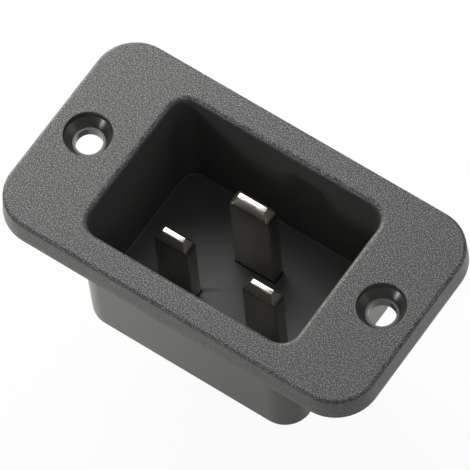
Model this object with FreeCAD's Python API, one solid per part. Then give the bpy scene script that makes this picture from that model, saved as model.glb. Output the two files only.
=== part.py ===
import FreeCAD, Part
import math
import os
from FreeCAD import Vector

# Panel inlet for a three-pole appliance coupler, fixed by a flange with two screws.
# Origin: centre of the flange's seat on the panel. +Z out of the front, +X along the
# flange, +Y towards the earth blade. Millimetres and degrees.

# Cavity that takes the mating connector, measured at the face
cavity_length = 30.3
cavity_width = 21.6
cavity_depth = 18.6
cavity_corner_radius = 3.6
mouth_edge_radius = 0.75
floor_edge_radius = 0.2

# Moulded walls
end_wall_thickness = 1.7
side_wall_thickness = 1.5
floor_thickness = 2.6
draft_angle = 0.75
body_edge_radius = 0.3

# Flange
flange_thickness = 3.6
flange_side_land = 2.65
flange_corner_radius = 5.7
flange_draft_angle = 3.5
flange_edge_radius = 0.5

# Screw holes, each with a sunk conical seat for the screw's head
hole_from_wall = 4.65
hole_from_end = 5.25
hole_diameter = 3.5
hole_exit_chamfer = 0.3
recess_diameter = 6.1
recess_rim_depth = 1.0
seat_cone_angle = 90.0
seat_end_diameter = 4.1

# Blades
line_spacing = 13.0
line_offset = 3.75
earth_offset = 3.9
line_blade_width = 5.0
earth_blade_width = 6.0
blade_thickness = 2.0
blade_edge_radius = 0.25
line_tip_depth = 4.75
earth_tip_depth = 1.85
tip_flat_thickness = 0.7
tip_side_bevel_height = 1.1
tip_end_bevel = 1.0
tip_end_bevel_height = 1.8

# Seat of each blade in a boss on the back of the floor
slot_clearance = 0.05
boss_height = 3.0
boss_wall = 1.3
boss_corner_radius = 0.6
boss_root_bevel = 0.4
boss_margin = 0.3
shoulder_overhang = 0.55
shoulder_height = 1.5

# Quick-connect tab at the back of each contact
tab_width = 6.3
tab_thickness = 0.8
tab_length = 8.0
tab_corner_bevel = 1.0
tab_tip_thickness = 0.4
tab_tip_bevel_height = 1.0
tab_hole_diameter = 1.8
tab_hole_from_end = 3.8

# Levels and sizes that follow from the values above
cut_past = 1.0
face_z = flange_thickness
floor_z = face_z - cavity_depth
rear_z = floor_z - floor_thickness
seat_z = rear_z - boss_height
tab_top_z = seat_z - shoulder_height
tab_end_z = tab_top_z - tab_length
body_length = cavity_length + 2 * end_wall_thickness
body_width = cavity_width + 2 * side_wall_thickness
body_corner_radius = cavity_corner_radius + side_wall_thickness
hole_pitch = body_length + 2 * hole_from_wall
flange_length = hole_pitch + 2 * hole_from_end
flange_width = body_width + 2 * flange_side_land
shoulder_width = max(tab_width, line_blade_width, earth_blade_width) + 2 * shoulder_overhang


def outline(length, width, radius, z):
    """Rectangle with round corners at height z, centred on the Z axis, as a closed wire."""
    inner_x = length / 2 - radius
    inner_y = width / 2 - radius
    up = Vector(0, 0, 1)
    centres = [(inner_x, inner_y), (-inner_x, inner_y), (-inner_x, -inner_y), (inner_x, -inner_y)]
    arcs = []
    for quarter, (x, y) in enumerate(centres):
        arcs.append(Part.makeCircle(radius, Vector(x, y, z), up, 90 * quarter, 90 * quarter + 90))
    edges = []
    for arc, following in zip(arcs, arcs[1:] + arcs[:1]):
        start = arc.valueAt(arc.LastParameter)
        end = following.valueAt(following.FirstParameter)
        edges += [arc, Part.makeLine(start, end)]
    return Part.Wire(edges)


def prism(length, width, radius, low_z, high_z):
    """Upright block with round corners."""
    face = Part.Face(outline(length, width, radius, low_z))
    return face.extrude(Vector(0, 0, high_z - low_z))


def drafted_block(length, width, radius, wide_z, narrow_z, angle):
    """Block with round corners whose walls lean in by an angle from its wide end to its narrow end."""
    inset = math.tan(math.radians(angle)) * abs(wide_z - narrow_z)
    wide = outline(length, width, radius, wide_z)
    narrow = outline(length - 2 * inset, width - 2 * inset, radius - inset, narrow_z)
    return Part.makeLoft([wide, narrow], True, True)


def edges_at(solid, z, length, width, centre=Vector(0, 0, 0)):
    """Edges of a solid that lie flat at height z, inside a length by width about a centre."""
    slack = 0.01
    corner = Vector(length / 2 + slack, width / 2 + slack, slack)
    middle = Vector(centre.x, centre.y, z)
    low = middle - corner
    high = middle + corner
    region = FreeCAD.BoundBox(low.x, low.y, low.z, high.x, high.y, high.z)
    return [edge for edge in solid.Edges if region.isInside(edge.BoundBox)]


def screw_hole():
    """Cutter for one screw hole: clearance bore, flat step, conical seat and sunk rim, turned about Z."""
    bore_r = hole_diameter / 2
    exit_r = bore_r + hole_exit_chamfer
    step_r = seat_end_diameter / 2
    rim_r = recess_diameter / 2
    rim_z = face_z - recess_rim_depth
    step_z = rim_z - (rim_r - step_r) / math.tan(math.radians(seat_cone_angle / 2))
    profile = [
        (0, -cut_past),
        (exit_r, -cut_past),
        (exit_r, 0),
        (bore_r, hole_exit_chamfer),
        (bore_r, step_z),
        (step_r, step_z),
        (rim_r, rim_z),
        (rim_r, face_z + cut_past),
        (0, face_z + cut_past),
    ]
    points = [Vector(r, 0, z) for r, z in profile]
    face = Part.Face(Part.makePolygon(points + points[:1]))
    return face.revolve(Vector(0, 0, 0), Vector(0, 0, 1), 360)


def housing(blades):
    """Moulding of flange, drafted body, floor and terminal bosses, in one piece."""
    flange = drafted_block(flange_length, flange_width, flange_corner_radius, 0, face_z, flange_draft_angle)
    flange = flange.makeFillet(flange_edge_radius, edges_at(flange, face_z, flange_length, flange_width))

    body = drafted_block(body_length, body_width, body_corner_radius, 0, rear_z, draft_angle)
    body = body.makeFillet(body_edge_radius, edges_at(body, rear_z, body_length, body_width))
    shell = flange.fuse(body)

    cavity = drafted_block(cavity_length, cavity_width, cavity_corner_radius, face_z, floor_z, draft_angle)
    cavity = cavity.makeFillet(floor_edge_radius, edges_at(cavity, floor_z, cavity_length, cavity_width))
    shell = shell.cut(cavity).removeSplitter()
    shell = shell.makeFillet(mouth_edge_radius, edges_at(shell, face_z, cavity_length, cavity_width))

    boss_length = shoulder_width + 2 * boss_margin
    boss_width = blade_thickness + 2 * boss_wall
    for width, place in blades:
        boss = prism(boss_length, boss_width, boss_corner_radius, seat_z, rear_z + floor_thickness / 2)
        shell = shell.fuse(boss.translated(place))
        root = edges_at(shell, rear_z, boss_length, boss_width, place)
        shell = shell.makeChamfer(boss_root_bevel, root)
    for width, place in blades:
        slot_length = width + 2 * slot_clearance
        slot_width = blade_thickness + 2 * slot_clearance
        slot_radius = blade_edge_radius + slot_clearance
        slot = prism(slot_length, slot_width, slot_radius, seat_z - cut_past, floor_z + cut_past)
        shell = shell.cut(slot.translated(place))

    for side in (-1, 1):
        shell = shell.cut(screw_hole().translated(Vector(side * hole_pitch / 2, 0, 0)))
    return shell.removeSplitter()


def plate(points, depth):
    """Flat plate of an X-Z outline, centred on the plane Y = 0."""
    corners = [Vector(x, -depth / 2, z) for x, z in points]
    return Part.Face(Part.makePolygon(corners + corners[:1])).extrude(Vector(0, depth, 0))


def cross_plate(points, depth):
    """Flat plate of a Y-Z outline, centred on the plane X = 0."""
    corners = [Vector(-depth / 2, y, z) for y, z in points]
    return Part.Face(Part.makePolygon(corners + corners[:1])).extrude(Vector(depth, 0, 0))


def tapered_outline(width, flat, low_z, tip_z, bevel_height):
    """Outline of a bar that narrows to a flat over its last bevel_height."""
    half = width / 2
    return [
        (-half, low_z),
        (half, low_z),
        (half, tip_z - bevel_height),
        (flat / 2, tip_z),
        (-flat / 2, tip_z),
        (-half, tip_z - bevel_height),
    ]


def contact(blade_width, tip_depth, place):
    """Stamped contact: bevelled blade, shoulder that seats on the boss, and tab with its catch hole."""
    tip_z = face_z - tip_depth
    blade = prism(blade_width, blade_thickness, blade_edge_radius, seat_z, tip_z)
    tip_flat = blade_width - 2 * tip_end_bevel
    front = tapered_outline(blade_width, tip_flat, seat_z, tip_z, tip_end_bevel_height)
    side = tapered_outline(blade_thickness, tip_flat_thickness, seat_z, tip_z, tip_side_bevel_height)
    blade = blade.common(plate(front, blade_thickness)).common(cross_plate(side, blade_width))

    half = shoulder_width / 2
    shoulder_outline = [(-half, tab_top_z), (half, tab_top_z), (half, seat_z), (-half, seat_z)]
    shoulder = plate(shoulder_outline, blade_thickness)

    half = tab_width / 2
    bevel = tab_corner_bevel
    tab_outline = [
        (-half, tab_top_z),
        (-half, tab_end_z + bevel),
        (-half + bevel, tab_end_z),
        (half - bevel, tab_end_z),
        (half, tab_end_z + bevel),
        (half, tab_top_z),
    ]
    tab_side = tapered_outline(tab_thickness, tab_tip_thickness, tab_top_z, tab_end_z, -tab_tip_bevel_height)
    tab = plate(tab_outline, tab_thickness).common(cross_plate(tab_side, tab_width))
    hole_start = Vector(0, -tab_thickness, tab_end_z + tab_hole_from_end)
    tab = tab.cut(Part.makeCylinder(tab_hole_diameter / 2, 2 * tab_thickness, hole_start, Vector(0, 1, 0)))
    return blade.fuse([shoulder, tab]).removeSplitter().translated(place)


live_place = Vector(-line_spacing / 2, -line_offset, 0)
neutral_place = Vector(line_spacing / 2, -line_offset, 0)
earth_place = Vector(0, earth_offset, 0)
blade_places = [
    (line_blade_width, live_place),
    (line_blade_width, neutral_place),
    (earth_blade_width, earth_place),
]

pieces = {
    "housing": housing(blade_places),
    "live_contact": contact(line_blade_width, line_tip_depth, live_place),
    "neutral_contact": contact(line_blade_width, line_tip_depth, neutral_place),
    "earth_contact": contact(earth_blade_width, earth_tip_depth, earth_place),
}

os.makedirs("parts", exist_ok=True)
for name, shape in pieces.items():
    if len(shape.Solids) != 1 or not shape.isValid():
        raise ValueError(name + " is not one sound solid")
    shape.Solids[0].exportStep("parts/" + name + ".step")
    print(name, "volume", round(shape.Volume, 2), "faces", len(shape.Faces))
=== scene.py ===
import math

import bpy
from mathutils import Matrix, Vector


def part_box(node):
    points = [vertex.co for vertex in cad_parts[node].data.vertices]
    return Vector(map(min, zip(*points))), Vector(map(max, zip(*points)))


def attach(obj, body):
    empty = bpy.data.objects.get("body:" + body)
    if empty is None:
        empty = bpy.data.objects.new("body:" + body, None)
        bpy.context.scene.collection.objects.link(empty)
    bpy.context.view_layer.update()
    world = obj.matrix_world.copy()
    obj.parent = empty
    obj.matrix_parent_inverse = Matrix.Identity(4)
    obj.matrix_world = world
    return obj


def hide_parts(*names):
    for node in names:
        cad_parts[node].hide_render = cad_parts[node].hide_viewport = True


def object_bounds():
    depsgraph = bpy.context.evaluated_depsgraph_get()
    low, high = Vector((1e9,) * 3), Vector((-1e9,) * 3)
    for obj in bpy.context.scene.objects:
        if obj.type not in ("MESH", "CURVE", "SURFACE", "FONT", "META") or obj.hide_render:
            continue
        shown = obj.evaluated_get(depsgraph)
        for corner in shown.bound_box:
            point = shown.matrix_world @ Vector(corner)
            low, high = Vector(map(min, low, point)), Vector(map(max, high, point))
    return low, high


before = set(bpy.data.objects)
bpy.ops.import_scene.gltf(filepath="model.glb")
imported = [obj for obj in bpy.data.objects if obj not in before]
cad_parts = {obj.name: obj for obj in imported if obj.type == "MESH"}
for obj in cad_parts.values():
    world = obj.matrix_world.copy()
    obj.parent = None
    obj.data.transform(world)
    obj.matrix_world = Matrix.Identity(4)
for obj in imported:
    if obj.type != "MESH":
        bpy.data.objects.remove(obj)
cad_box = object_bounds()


# Housing: one injection moulding of charcoal glass-filled nylon, with the flange, the socket and the
# terminal bosses in one piece. The mould's flange is spark eroded and its other walls are finely stoned.
# Two countersunk screws hold the flange to the panel.

MM = 0.001
scene = bpy.context.scene


def node_box(node):
    """The lowest and the highest corner of a node of the frame, in millimetres."""
    return [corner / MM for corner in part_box(node)]


def node_middle(node):
    """The middle of a node of the frame, in millimetres."""
    lowest, highest = node_box(node)
    return (lowest + highest) / 2


# Outlines as half length, half width and corner radius, and levels along Z, in millimetres. The flange's
# size, its face and the ends of the bosses come from the frame. The body's length and the corners of body
# and socket follow the photograph instead. In the frame the body is longer, and both have rounder corners.
lowest, highest = node_box("housing")
FLANGE = (highest.x, highest.y, 5.7)
BODY = (16.1, 12.3, 3.8)
CAVITY = (15.15, 10.8, 2.4)
BOSS = (4.0, 2.3, 0.6)
FACE_Z = highest.z
FLOOR_Z = -15.0
REAR_Z = -17.6
SEAT_Z = lowest.z
DRAFT = math.tan(math.radians(0.75))
FLANGE_DRAFT = math.tan(math.radians(3.5))

# Radius of each moulded edge.
FLANGE_EDGE = 0.5
FLANGE_BACK_EDGE = 0.15
MOUTH_EDGE = 0.75
FLOOR_EDGE = 0.2
BODY_EDGE = 0.3
BOSS_EDGE = 0.15
BOSS_ROOT_BEVEL = 0.4
SLOT_EDGE = 0.1
RIM_EDGE = 0.12

# Screw holes, from the bore at the back to the sunk rim at the face.
HOLE_PITCH = 43.0
BORE_RADIUS = 1.75
EXIT_CHAMFER = 0.3
STEP_RADIUS = 2.05
STEP_Z = 1.6
RIM_RADIUS = 3.05
RIM_Z = 2.6

# Blades, and the clearance round each one in its slot.
LINE_BLADE_WIDTH = 5.0
EARTH_BLADE_WIDTH = 6.0
BLADE_THICKNESS = 2.0
BLADE_EDGE = 0.25
SLOT_CLEARANCE = 0.05


def linear(hex_colour):
    """An sRGB hex colour as the linear RGBA that a shader socket takes."""
    channels = [int(hex_colour[i:i + 2], 16) / 255 for i in (1, 3, 5)]
    return [c / 12.92 if c <= 0.04045 else ((c + 0.055) / 1.055) ** 2.4 for c in channels] + [1.0]


def add(tree, kind, sockets=None, **settings):
    """Adds one node to a tree, sets its properties, and sets or links its input sockets."""
    node = tree.nodes.new(kind)
    for name, value in settings.items():
        setattr(node, name, value)
    for name, value in (sockets or {}).items():
        if isinstance(value, bpy.types.NodeSocket):
            tree.links.new(value, node.inputs[name])
        else:
            node.inputs[name].default_value = value
    return node


def new_material(name):
    """An empty node material and its tree."""
    material = bpy.data.materials.new(name)
    material.use_nodes = True
    material.node_tree.nodes.clear()
    return material, material.node_tree


# Glass-filled nylon from a spark-eroded mould: a near-black resin whose flange is covered in shallow
# craters. Its colour there is speckled: dark resin with painted shade in the craters, and pale painted
# glints on the high spots between them, so that it reads as a soft speckled grey. Under the parting line,
# in the screw seats and on the body it has the plain satin gloss of stoned steel. On the core side, inside
# the socket, it is duller and painted a little paler, as painted fill light in the deep socket. The craters
# are drawn about twice as wide as real ones, and the stoning several times, so that they show in the
# picture.
CRATER_WIDTH = 0.15 * MM
CRATER_DEPTH = 0.036 * MM
STONING_WIDTH = 0.12 * MM
STONING_DEPTH = 0.003 * MM
# Dark resin with painted shade in the craters, and pale painted glints on the high spots between them.
CRATER_RESIN_AND_SHADE = "#292929"
PAINTED_GLINTS = "#868686"
STONED_RESIN = "#40403d"
# The core's resin is painted paler than the stoned resin: painted fill light in the deep socket.
CORE_RESIN_PAINTED_PALER = "#484847"
CRATER_ROUGHNESS = 0.50
STONED_ROUGHNESS = 0.26
CORE_ROUGHNESS = 0.45
NYLON_IOR = 1.53

# Levels of the noise at which a painted glint starts to show and is full.
GLINT_START = 0.50
GLINT_FULL = 0.66

# Where each finish lies: the share of grain on the flange's side, the level of the parting line, the core's
# outline at the mouth, and how far to either side of a border one finish passes into the next.
SIDE_GRAIN = 0.5
PARTING_Z = 0.6
CORE_HALF_LENGTH = 15.7 * MM
CORE_HALF_WIDTH = 11.2 * MM
BLEND = 0.1

nylon, tree = new_material("moulded_nylon")
place = add(tree, "ShaderNodeTexCoord").outputs["Object"]
axes = add(tree, "ShaderNodeSeparateXYZ", {0: place}).outputs
on_side = add(tree, "ShaderNodeMapRange", {
    "Value": axes["Z"], "From Min": (PARTING_Z - BLEND) * MM, "From Max": (PARTING_Z + BLEND) * MM,
    "To Max": SIDE_GRAIN,
}).outputs["Result"]
on_face = add(tree, "ShaderNodeMapRange", {
    "Value": axes["Z"], "From Min": (FACE_Z - FLANGE_EDGE) * MM, "From Max": (FACE_Z - BLEND) * MM,
    "To Max": 1.0 - SIDE_GRAIN,
}).outputs["Result"]
from_middle = add(tree, "ShaderNodeVectorMath", {0: place}, operation="ABSOLUTE").outputs[0]
beside = add(tree, "ShaderNodeSeparateXYZ", {0: from_middle}).outputs
past_end = add(tree, "ShaderNodeMath", {
    0: beside["X"], 1: CORE_HALF_LENGTH,
}, operation="SUBTRACT").outputs[0]
past_side = add(tree, "ShaderNodeMath", {
    0: beside["Y"], 1: CORE_HALF_WIDTH,
}, operation="SUBTRACT").outputs[0]
past_core = add(tree, "ShaderNodeMath", {0: past_end, 1: past_side}, operation="MAXIMUM").outputs[0]
in_outline = add(tree, "ShaderNodeMapRange", {
    "Value": past_core, "From Min": 2 * BLEND * MM, "From Max": -2 * BLEND * MM,
}).outputs["Result"]
under_face = add(tree, "ShaderNodeMapRange", {
    "Value": axes["Z"], "From Min": (FACE_Z - 2 * BLEND) * MM, "From Max": (FACE_Z - MOUTH_EDGE) * MM,
}).outputs["Result"]
in_core = add(tree, "ShaderNodeMath", {0: in_outline, 1: under_face}, operation="MULTIPLY").outputs[0]
outside = add(tree, "ShaderNodeMath", {0: 1.0, 1: in_core}, operation="SUBTRACT").outputs[0]
from_hole = add(tree, "ShaderNodeVectorMath", {
    0: from_middle, 1: (HOLE_PITCH / 2 * MM, 0.0, 0.0),
}, operation="SUBTRACT").outputs[0]
from_axis = add(tree, "ShaderNodeVectorMath", {
    0: from_hole, 1: (1.0, 1.0, 0.0),
}, operation="MULTIPLY").outputs[0]
distance = add(tree, "ShaderNodeVectorMath", {0: from_axis}, operation="LENGTH").outputs["Value"]
past_rim = add(tree, "ShaderNodeMath", {
    0: distance, 1: (RIM_RADIUS + RIM_EDGE) * MM,
}, operation="GREATER_THAN").outputs[0]
grain = add(tree, "ShaderNodeMath", {0: on_side, 1: on_face}, operation="ADD").outputs[0]
grain = add(tree, "ShaderNodeMath", {0: grain, 1: outside}, operation="MULTIPLY").outputs[0]
grain = add(tree, "ShaderNodeMath", {0: grain, 1: past_rim}, operation="MULTIPLY").outputs[0]
craters = add(tree, "ShaderNodeTexNoise", {
    "Vector": place, "Scale": 1 / CRATER_WIDTH, "Detail": 1.0, "Roughness": 0.5,
}).outputs["Fac"]
stoning = add(tree, "ShaderNodeTexNoise", {
    "Vector": place, "Scale": 1 / STONING_WIDTH, "Detail": 1.0,
}).outputs["Fac"]
crater_height = add(tree, "ShaderNodeMath", {
    0: craters, 1: CRATER_DEPTH,
}, operation="MULTIPLY").outputs[0]
stoning_height = add(tree, "ShaderNodeMath", {
    0: stoning, 1: STONING_DEPTH,
}, operation="MULTIPLY").outputs[0]
relief = add(tree, "ShaderNodeMix", {
    "Factor": grain, "A": stoning_height, "B": crater_height,
}).outputs[0]
bump = add(tree, "ShaderNodeBump", {
    "Height": relief, "Strength": 1.0, "Distance": 1.0,
}).outputs["Normal"]
# Pale painted glints on the high spots of the craters, over resin with painted shade in the craters.
glint_share = add(tree, "ShaderNodeMapRange", {
    "Value": craters, "From Min": GLINT_START, "From Max": GLINT_FULL,
}).outputs["Result"]
painted_speckle = add(tree, "ShaderNodeMix", {
    "Factor": glint_share, "A": linear(CRATER_RESIN_AND_SHADE), "B": linear(PAINTED_GLINTS),
}, data_type="RGBA").outputs[2]
# The walls inside the socket are painted paler here: painted fill light.
stoned_and_core_fill = add(tree, "ShaderNodeMix", {
    "Factor": in_core, "A": linear(STONED_RESIN), "B": linear(CORE_RESIN_PAINTED_PALER),
}, data_type="RGBA").outputs[2]
# The resin's colour, with the painted glints, painted crater shade and painted socket fill light in it.
resin_with_painted_light = add(tree, "ShaderNodeMix", {
    "Factor": grain, "A": stoned_and_core_fill, "B": painted_speckle,
}, data_type="RGBA").outputs[2]
wall_roughness = add(tree, "ShaderNodeMapRange", {
    "Value": in_core, "To Min": STONED_ROUGHNESS, "To Max": CORE_ROUGHNESS,
}).outputs["Result"]
roughness = add(tree, "ShaderNodeMix", {
    "Factor": grain, "A": wall_roughness, "B": CRATER_ROUGHNESS,
}).outputs[0]
shader = add(tree, "ShaderNodeBsdfPrincipled", {
    "Base Color": resin_with_painted_light, "Roughness": roughness, "IOR": NYLON_IOR, "Normal": bump,
})
add(tree, "ShaderNodeOutputMaterial", {"Surface": shader.outputs[0]})


# The loft takes one vertex for each section, at its half length, half width and height, with its corner
# radius as an attribute. It wraps a grid round the sections, closes it, and repeats the solid along a line.
MERGE_DISTANCE = 0.001 * MM
loft = bpy.data.node_groups.new("section_loft", "GeometryNodeTree")
for name, kind in (
    ("Sections", "NodeSocketGeometry"), ("Corner Steps", "NodeSocketInt"), ("Count", "NodeSocketInt"),
    ("Start", "NodeSocketVector"), ("Pitch", "NodeSocketVector"), ("Material", "NodeSocketMaterial"),
):
    loft.interface.new_socket(name, in_out="INPUT", socket_type=kind)
loft.interface.new_socket("Solid", in_out="OUTPUT", socket_type="NodeSocketGeometry")

given = add(loft, "NodeGroupInput").outputs
section_count = add(loft, "GeometryNodeAttributeDomainSize", {
    0: given["Sections"],
}).outputs["Point Count"]
corner_points = add(loft, "ShaderNodeMath", {
    0: given["Corner Steps"], 1: 1.0,
}, operation="ADD").outputs[0]
ring_points = add(loft, "ShaderNodeMath", {0: corner_points, 1: 4.0}, operation="MULTIPLY").outputs[0]
grid_points = add(loft, "ShaderNodeMath", {0: ring_points, 1: 1.0}, operation="ADD").outputs[0]
grid = add(loft, "GeometryNodeMeshGrid", {
    "Vertices X": section_count, "Vertices Y": grid_points,
}).outputs["Mesh"]

# Each point's section, its quarter of the ring, and the angles of its own turn and of its corner.
index = add(loft, "GeometryNodeInputIndex").outputs[0]
rings_passed = add(loft, "ShaderNodeMath", {0: index, 1: grid_points}, operation="DIVIDE").outputs[0]
section = add(loft, "ShaderNodeMath", {0: rings_passed}, operation="FLOOR").outputs[0]
grid_step = add(loft, "ShaderNodeMath", {0: index, 1: grid_points}, operation="MODULO").outputs[0]
ring_step = add(loft, "ShaderNodeMath", {0: grid_step, 1: ring_points}, operation="MODULO").outputs[0]
corners_passed = add(loft, "ShaderNodeMath", {
    0: ring_step, 1: corner_points,
}, operation="DIVIDE").outputs[0]
quarter = add(loft, "ShaderNodeMath", {0: corners_passed}, operation="FLOOR").outputs[0]
corner_step = add(loft, "ShaderNodeMath", {
    0: ring_step, 1: corner_points,
}, operation="MODULO").outputs[0]
corner_share = add(loft, "ShaderNodeMath", {
    0: corner_step, 1: given["Corner Steps"],
}, operation="DIVIDE").outputs[0]
quarters = add(loft, "ShaderNodeMath", {0: quarter, 1: corner_share}, operation="ADD").outputs[0]
turn = add(loft, "ShaderNodeMath", {0: quarters, 1: math.pi / 2}, operation="MULTIPLY").outputs[0]
half_quarter = add(loft, "ShaderNodeMath", {0: quarter, 1: 0.5}, operation="ADD").outputs[0]
diagonal = add(loft, "ShaderNodeMath", {0: half_quarter, 1: math.pi / 2}, operation="MULTIPLY").outputs[0]

outline = add(loft, "GeometryNodeSampleIndex", {
    "Geometry": given["Sections"], "Index": section,
    "Value": add(loft, "GeometryNodeInputPosition").outputs[0],
}, data_type="FLOAT_VECTOR").outputs[0]
radius = add(loft, "GeometryNodeSampleIndex", {
    "Geometry": given["Sections"], "Index": section,
    "Value": add(loft, "GeometryNodeInputNamedAttribute", {
        "Name": "corner",
    }, data_type="FLOAT").outputs[0],
}, data_type="FLOAT").outputs[0]
half = add(loft, "ShaderNodeSeparateXYZ", {0: outline}).outputs
sides = []
for half_size, wave in ((half["X"], "COSINE"), (half["Y"], "SINE")):
    inner = add(loft, "ShaderNodeMath", {0: half_size, 1: radius}, operation="SUBTRACT").outputs[0]
    slant = add(loft, "ShaderNodeMath", {0: diagonal}, operation=wave).outputs[0]
    side = add(loft, "ShaderNodeMath", {0: slant}, operation="SIGN").outputs[0]
    centre = add(loft, "ShaderNodeMath", {0: inner, 1: side}, operation="MULTIPLY").outputs[0]
    reach = add(loft, "ShaderNodeMath", {0: turn}, operation=wave).outputs[0]
    arc = add(loft, "ShaderNodeMath", {0: radius, 1: reach}, operation="MULTIPLY").outputs[0]
    sides.append(add(loft, "ShaderNodeMath", {0: centre, 1: arc}, operation="ADD").outputs[0])
wrapped = add(loft, "ShaderNodeCombineXYZ", {"X": sides[0], "Y": sides[1], "Z": half["Z"]}).outputs[0]
skin = add(loft, "GeometryNodeSetPosition", {"Geometry": grid, "Position": wrapped}).outputs[0]
closed = add(loft, "GeometryNodeMergeByDistance", {
    "Geometry": skin, "Distance": MERGE_DISTANCE,
}).outputs[0]
outward = add(loft, "GeometryNodeFlipFaces", {0: closed}).outputs[0]
row = add(loft, "GeometryNodeMeshLine", {
    "Count": given["Count"], "Start Location": given["Start"], "Offset": given["Pitch"],
}, mode="OFFSET").outputs[0]
copies = add(loft, "GeometryNodeInstanceOnPoints", {"Points": row, "Instance": outward}).outputs[0]
solids = add(loft, "GeometryNodeRealizeInstances", {0: copies}).outputs[0]
finished = add(loft, "GeometryNodeSetMaterial", {
    "Geometry": solids, "Material": given["Material"],
}).outputs[0]
add(loft, "NodeGroupOutput", {0: finished})


def inset(outline, amount):
    """An outline moved in by an amount on every side."""
    return tuple(size - amount for size in outline)


def rounded(outline, centre_z, radius, start, stop, outwards=False, steps=6):
    """Sections round an edge, between two angles in degrees, where 0 is the outline itself."""
    sections = []
    for step in range(steps + 1):
        angle = math.radians(start + (stop - start) * step / steps)
        amount = radius * (1 - math.cos(angle))
        moved = inset(outline, -amount if outwards else amount)
        sections.append((*moved, centre_z + radius * math.sin(angle)))
    return sections


def lofted(name, sections, material, corner_steps=14, start=(0, 0, 0), pitch=(0, 0, 0), count=1):
    """An object whose modifier lofts closed solids through sections of outline and height."""
    mesh = bpy.data.meshes.new(name)
    points = [(length * MM, width * MM, z * MM) for length, width, corner, z in sections]
    mesh.from_pydata(points, [], [])
    radii = mesh.attributes.new("corner", "FLOAT", "POINT")
    radii.data.foreach_set("value", [corner * MM for length, width, corner, z in sections])
    mesh.materials.append(material)
    solid = bpy.data.objects.new(name, mesh)
    scene.collection.objects.link(solid)
    modifier = solid.modifiers.new("loft", "NODES")
    modifier.node_group = loft
    inputs = {
        "Corner Steps": corner_steps, "Count": count, "Material": material,
        "Start": [MM * value for value in start], "Pitch": [MM * value for value in pitch],
    }
    for socket in loft.interface.items_tree:
        if socket.name in inputs:
            modifier[socket.identifier] = inputs[socket.name]
    return solid


def combine(solid, other, operation):
    """Joins another solid to a solid, or cuts it out."""
    modifier = solid.modifiers.new(other.name, "BOOLEAN")
    modifier.operation = operation
    modifier.solver = "EXACT"
    modifier.object = other


def plain_mesh(solid):
    """What an object's modifiers give, as a mesh of its own."""
    depsgraph = bpy.context.evaluated_depsgraph_get()
    return bpy.data.meshes.new_from_object(
        solid.evaluated_get(depsgraph), preserve_all_data_layers=True, depsgraph=depsgraph)


# Edges that turn by more than this stay sharp.
SHARP_ANGLE = math.radians(32)


def finished_piece(name, solid, tools, material):
    """Bakes a solid to a plain object with true flats and smooth roundings, and clears its tools away."""
    mesh = plain_mesh(solid)
    mesh.shade_smooth()
    mesh.set_sharp_from_angle(angle=SHARP_ANGLE)
    piece = bpy.data.objects.new(name, mesh)
    scene.collection.objects.link(piece)
    normals = piece.modifiers.new("normals", "WEIGHTED_NORMAL")
    normals.keep_sharp = True
    piece.data = plain_mesh(piece)
    piece.modifiers.clear()
    piece.data.name = name
    piece.data.materials.clear()
    piece.data.materials.append(material)
    for tool in [solid] + tools:
        bpy.data.objects.remove(tool)
    return piece


def circle(radius):
    """The outline of a round section."""
    return (radius, radius, radius)


# How far a tool reaches past the face it cuts or joins, and the angle in degrees at which a tool that
# rounds an edge leaves the rounding and runs straight on.
PAST = 0.5
FLARE_ANGLE = 60


def flared(outline, face_z, radius):
    """Sections of a tool that rounds the edge of an opening in a face and runs on past the face."""
    sections = rounded(outline, face_z - radius, radius, 0, FLARE_ANGLE, outwards=True)
    *last, last_z = sections[-1]
    rise = face_z + PAST - last_z
    widened = inset(last, -rise * math.tan(math.radians(FLARE_ANGLE)))
    return sections + [(*widened, face_z + PAST)]


front = inset(FLANGE, FLANGE_DRAFT * FACE_Z)
rear = inset(BODY, -DRAFT * REAR_Z)
cavity_floor = inset(CAVITY, DRAFT * (FACE_Z - FLOOR_Z))
shell = lofted("shell", [
    (0, 0, 0, REAR_Z),
    *rounded(rear, REAR_Z + BODY_EDGE, BODY_EDGE, -90, 0),
    (*BODY, 0),
    *rounded(FLANGE, FLANGE_BACK_EDGE, FLANGE_BACK_EDGE, -90, 0),
    *rounded(front, FACE_Z - FLANGE_EDGE, FLANGE_EDGE, 0, 90),
    *rounded(CAVITY, FACE_Z - MOUTH_EDGE, MOUTH_EDGE, 90, 0, outwards=True),
    *rounded(cavity_floor, FLOOR_Z + FLOOR_EDGE, FLOOR_EDGE, 0, -90),
    (0, 0, 0, FLOOR_Z),
], nylon)

live = node_middle("live_contact")
neutral = node_middle("neutral_contact")
earth = node_middle("earth_contact")
line_row = {"start": (live.x, live.y, 0), "pitch": (neutral.x - live.x, 0, 0), "count": 2}
earth_row = {"start": (earth.x, earth.y, 0)}
tools = []
for blade_width, row in ((LINE_BLADE_WIDTH, line_row), (EARTH_BLADE_WIDTH, earth_row)):
    slot = inset((blade_width / 2, BLADE_THICKNESS / 2, BLADE_EDGE), -SLOT_CLEARANCE)
    bosses = lofted("bosses", [
        (0, 0, 0, SEAT_Z),
        *rounded(BOSS, SEAT_Z + BOSS_EDGE, BOSS_EDGE, -90, 0),
        (*BOSS, REAR_Z - BOSS_ROOT_BEVEL),
        (*inset(BOSS, -BOSS_ROOT_BEVEL - PAST), REAR_Z + PAST),
        (0, 0, 0, REAR_Z + PAST),
    ], nylon, **row)
    slots = lofted("slots", [
        (0, 0, 0, SEAT_Z - PAST),
        (*slot, SEAT_Z - PAST),
        *flared(slot, FLOOR_Z, SLOT_EDGE),
        (0, 0, 0, FLOOR_Z + PAST),
    ], nylon, **row)
    combine(shell, bosses, "UNION")
    combine(shell, slots, "DIFFERENCE")
    tools += [bosses, slots]

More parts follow.
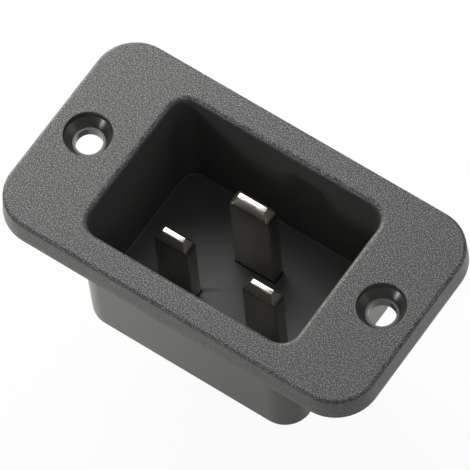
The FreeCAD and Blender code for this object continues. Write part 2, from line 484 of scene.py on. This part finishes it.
holes = lofted("screw_holes", [
    (0, 0, 0, -PAST),
    (*circle(BORE_RADIUS + EXIT_CHAMFER + PAST), -PAST),
    (*circle(BORE_RADIUS), EXIT_CHAMFER),
    (*circle(BORE_RADIUS), STEP_Z),
    (*circle(STEP_RADIUS), STEP_Z),
    (*circle(RIM_RADIUS), RIM_Z),
    *flared(circle(RIM_RADIUS), FACE_Z, RIM_EDGE),
    (0, 0, 0, FACE_Z + PAST),
], nylon, corner_steps=20, start=(-HOLE_PITCH / 2, 0, 0), pitch=(HOLE_PITCH, 0, 0), count=2)
combine(shell, holes, "DIFFERENCE")
tools.append(holes)

housing = finished_piece("inlet_housing", shell, tools, nylon)
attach(housing, "root")
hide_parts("housing")


# Contacts: three flat blades stamped from brass strip and nickel plated, pushed through slots in the
# floor from behind until their shoulders meet the bosses. The tip of each blade is coined to a bevel, and
# the other end is a quick-connect tab.

TIP_END_BEVEL = 1.0
TIP_END_BEVEL_HEIGHT = 1.8
TIP_SIDE_BEVEL_HEIGHT = 1.1
TIP_HALF_FLAT = 0.35
TIP_EDGE = 0.06
SHOULDER = (3.7, 1.0, 0.1)
SHOULDER_HEIGHT = 1.5
TAB = (3.15, 0.4, 0.08)
TAB_END = (2.15, 0.2, 0.08)
TAB_BEVEL_HEIGHT = 1.0
TAB_HOLE_RADIUS = 0.9
TAB_HOLE_FROM_END = 3.8
STAMPED_EDGE = 0.08

# Nickel plate on drawn brass strip: a warm white metal with a soft polish and faint lines along the strip.
# The coined bevels are dull and pitted. They are told from the rest by how much their normals point along
# the strip. The lines and the pits are drawn several times as wide as real ones, so that they show.
DRAW_LINE_WIDTH = 0.10 * MM
DRAW_LINE_LENGTH = 3.0 * MM
DRAW_LINE_DEPTH = 0.002 * MM
PIT_WIDTH = 0.24 * MM
PIT_DEPTH = 0.06 * MM
COINED_LEAN = 0.53
COINED_SPREAD = 0.27
NICKEL = "#d3cec4"
POLISHED_ROUGHNESS = 0.20
COINED_ROUGHNESS = 0.26
nickel, tree = new_material("nickel_plated_brass")
coordinates = add(tree, "ShaderNodeTexCoord").outputs
lean = add(tree, "ShaderNodeSeparateXYZ", {0: coordinates["Normal"]}).outputs["Z"]
coined = add(tree, "ShaderNodeMath", {
    0: lean, 1: COINED_LEAN, 2: COINED_SPREAD,
}, operation="COMPARE").outputs[0]
pits = add(tree, "ShaderNodeTexNoise", {
    "Vector": coordinates["Object"], "Scale": 1 / PIT_WIDTH, "Detail": 1.0,
}).outputs["Fac"]
pit_height = add(tree, "ShaderNodeMath", {0: pits, 1: PIT_DEPTH}, operation="MULTIPLY").outputs[0]
stretch = add(tree, "ShaderNodeMapping", {
    "Vector": coordinates["Object"],
    "Scale": (1 / DRAW_LINE_WIDTH, 1 / DRAW_LINE_WIDTH, 1 / DRAW_LINE_LENGTH),
}).outputs[0]
lines = add(tree, "ShaderNodeTexNoise", {"Vector": stretch, "Scale": 1.0, "Detail": 2.0}).outputs["Fac"]
line_height = add(tree, "ShaderNodeMath", {
    0: lines, 1: DRAW_LINE_DEPTH,
}, operation="MULTIPLY").outputs[0]
relief = add(tree, "ShaderNodeMix", {
    "Factor": coined, "A": line_height, "B": pit_height,
}).outputs[0]
bump = add(tree, "ShaderNodeBump", {
    "Height": relief, "Strength": 1.0, "Distance": 1.0,
}).outputs["Normal"]
roughness = add(tree, "ShaderNodeMix", {
    "Factor": coined, "A": POLISHED_ROUGHNESS, "B": COINED_ROUGHNESS,
}).outputs[0]
shader = add(tree, "ShaderNodeBsdfPrincipled", {
    "Base Color": linear(NICKEL), "Metallic": 1.0, "Roughness": roughness, "Normal": bump,
})
add(tree, "ShaderNodeOutputMaterial", {"Surface": shader.outputs[0]})

for node, blade_width in (
    ("live_contact", LINE_BLADE_WIDTH),
    ("neutral_contact", LINE_BLADE_WIDTH),
    ("earth_contact", EARTH_BLADE_WIDTH),
):
    lowest, highest = node_box(node)
    tip_z = highest.z
    tab_end_z = lowest.z
    shoulder_z = SEAT_Z - SHOULDER_HEIGHT
    middle = node_middle(node)
    blade = (blade_width / 2, BLADE_THICKNESS / 2, BLADE_EDGE)
    end_bevel_done = TIP_END_BEVEL * (1 - TIP_SIDE_BEVEL_HEIGHT / TIP_END_BEVEL_HEIGHT)
    side_bevel_start = (blade_width / 2 - end_bevel_done, BLADE_THICKNESS / 2, BLADE_EDGE)
    tip = (blade_width / 2 - TIP_END_BEVEL, TIP_HALF_FLAT, 2 * TIP_EDGE)
    strip = lofted(node + "_strip", [
        (0, 0, 0, tab_end_z),
        (*TAB_END, tab_end_z),
        (*TAB, tab_end_z + TAB_BEVEL_HEIGHT),
        (*TAB, shoulder_z),
        *rounded(SHOULDER, shoulder_z + STAMPED_EDGE, STAMPED_EDGE, -90, 0, steps=3),
        *rounded(SHOULDER, SEAT_Z - STAMPED_EDGE, STAMPED_EDGE, 0, 90, steps=3),
        (*blade, SEAT_Z),
        (*blade, tip_z - TIP_END_BEVEL_HEIGHT),
        (*side_bevel_start, tip_z - TIP_SIDE_BEVEL_HEIGHT),
        *rounded(tip, tip_z - TIP_EDGE, TIP_EDGE, 0, 90, steps=3),
        (0, 0, 0, tip_z),
    ], nickel, corner_steps=6, start=(middle.x, middle.y, 0))
    reach = TAB[1] + PAST
    catch_hole = lofted(node + "_catch_hole", [
        (0, 0, 0, -reach),
        (*circle(TAB_HOLE_RADIUS), -reach),
        (*circle(TAB_HOLE_RADIUS), reach),
        (0, 0, 0, reach),
    ], nickel, corner_steps=10)
    hole_place = (middle.x * MM, middle.y * MM, (tab_end_z + TAB_HOLE_FROM_END) * MM)
    catch_hole.matrix_world = Matrix.Translation(hole_place) @ Matrix.Rotation(math.pi / 2, 4, "X")
    combine(strip, catch_hole, "DIFFERENCE")
    contact = finished_piece(node.replace("contact", "blade"), strip, [catch_hole], nickel)
    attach(contact, "root")
    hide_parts(node)


# Stage: a white paper sweep under the tabs, with a light tent all round it. Four softboxes stand at the
# back, the left, the front and the right, and the camera is where the photograph was taken from.

FLOOR_LEVEL = cad_box[0].z
FLOOR_HALF = 1500 * MM
floor_mesh = bpy.data.meshes.new("floor")
floor_mesh.from_pydata(
    [(-FLOOR_HALF, -FLOOR_HALF, FLOOR_LEVEL), (FLOOR_HALF, -FLOOR_HALF, FLOOR_LEVEL),
     (FLOOR_HALF, FLOOR_HALF, FLOOR_LEVEL), (-FLOOR_HALF, FLOOR_HALF, FLOOR_LEVEL)], [], [(0, 1, 2, 3)])
floor = bpy.data.objects.new("floor", floor_mesh)
scene.collection.objects.link(floor)

# White paper: flat and matt. What the camera sees of it is mostly a glow of full white, so that the
# picture's ground is white, and the rest keeps the shadow. Reflections see a smaller share of the glow.
VIEWED_WHITE = 0.93
MIRRORED_WHITE = 0.2
paper, tree = new_material("white_paper")
path = add(tree, "ShaderNodeLightPath").outputs
in_mirror = add(tree, "ShaderNodeMath", {
    0: path["Is Glossy Ray"], 1: path["Is Transmission Ray"],
}, operation="MAXIMUM").outputs[0]
mirrored = add(tree, "ShaderNodeMath", {0: in_mirror, 1: MIRRORED_WHITE}, operation="MULTIPLY").outputs[0]
viewed = add(tree, "ShaderNodeMath", {
    0: path["Is Camera Ray"], 1: VIEWED_WHITE,
}, operation="MULTIPLY").outputs[0]
share = add(tree, "ShaderNodeMath", {0: mirrored, 1: viewed}, operation="MAXIMUM").outputs[0]
matt = add(tree, "ShaderNodeBsdfDiffuse", {"Color": linear("#f2f2f0")}).outputs[0]
glow = add(tree, "ShaderNodeEmission", {"Color": linear("#ffffff"), "Strength": 1.0}).outputs[0]
mixed = add(tree, "ShaderNodeMixShader", {0: share, 1: matt, 2: glow}).outputs[0]
add(tree, "ShaderNodeOutputMaterial", {"Surface": mixed})
floor_mesh.materials.append(paper)

# Light tent: white where the camera sees it, and dimmer as a light.
TENT_LEVEL = 0.30
world = bpy.data.worlds.new("light_tent")
world.use_nodes = True
tree = world.node_tree
tree.nodes.clear()
path = add(tree, "ShaderNodeLightPath").outputs
level = add(tree, "ShaderNodeMapRange", {
    "Value": path["Is Camera Ray"], "To Min": TENT_LEVEL, "To Max": 1.0,
}).outputs["Result"]
tent = add(tree, "ShaderNodeBackground", {"Color": linear("#ffffff"), "Strength": level}).outputs[0]
add(tree, "ShaderNodeOutputWorld", {"Surface": tent})
scene.world = world

# Camera: the photograph's own place, found from the edges of the flange, socket and blades.
AZIMUTH = math.radians(39.94)
ELEVATION = math.radians(62.27)
ROLL = math.radians(-6.20)
DISTANCE = 769.5 * MM
SHIFT_UP = -0.236 * MM
PICTURE = 470
FOCAL_PIXELS = 6354.0


def aimed(azimuth, elevation, roll=0.0):
    """Turn of a camera or lamp that looks at the origin from an azimuth and an elevation."""
    upright = Matrix.Rotation(azimuth, 4, "Z") @ Matrix.Rotation(math.pi / 2 - elevation, 4, "X")
    return upright @ Matrix.Rotation(roll, 4, "Z")


camera_data = bpy.data.cameras.new("camera")
camera_data.sensor_width = 36.0
camera_data.lens = FOCAL_PIXELS / PICTURE * camera_data.sensor_width
camera_data.clip_start = 0.05
camera_data.clip_end = 10.0
camera = bpy.data.objects.new("camera", camera_data)
camera.matrix_world = aimed(AZIMUTH, ELEVATION, ROLL) @ Matrix.Translation((0, SHIFT_UP, DISTANCE))
scene.collection.objects.link(camera)
scene.camera = camera


def softbox(name, azimuth, elevation, distance, size, energy, colour="#ffffff"):
    """A square area lamp that faces the object. Its distance and size are in metres."""
    data = bpy.data.lights.new(name, "AREA")
    data.shape = "SQUARE"
    data.size = size
    data.energy = energy
    data.color = linear(colour)[:3]
    lamp = bpy.data.objects.new(name, data)
    turned = aimed(math.radians(azimuth), math.radians(elevation))
    lamp.matrix_world = turned @ Matrix.Translation((0, 0, distance))
    scene.collection.objects.link(lamp)


softbox("back_softbox", azimuth=227, elevation=46, distance=0.20, size=0.16, energy=0.31)
softbox("left_softbox", azimuth=250, elevation=18, distance=0.15, size=0.085, energy=0.17, colour="#fafdec")
softbox("front_softbox", azimuth=334, elevation=17, distance=0.6, size=0.08, energy=0.62)
softbox("right_softbox", azimuth=115, elevation=35, distance=0.5, size=0.3, energy=0.3)

scene.view_settings.view_transform = "Standard"
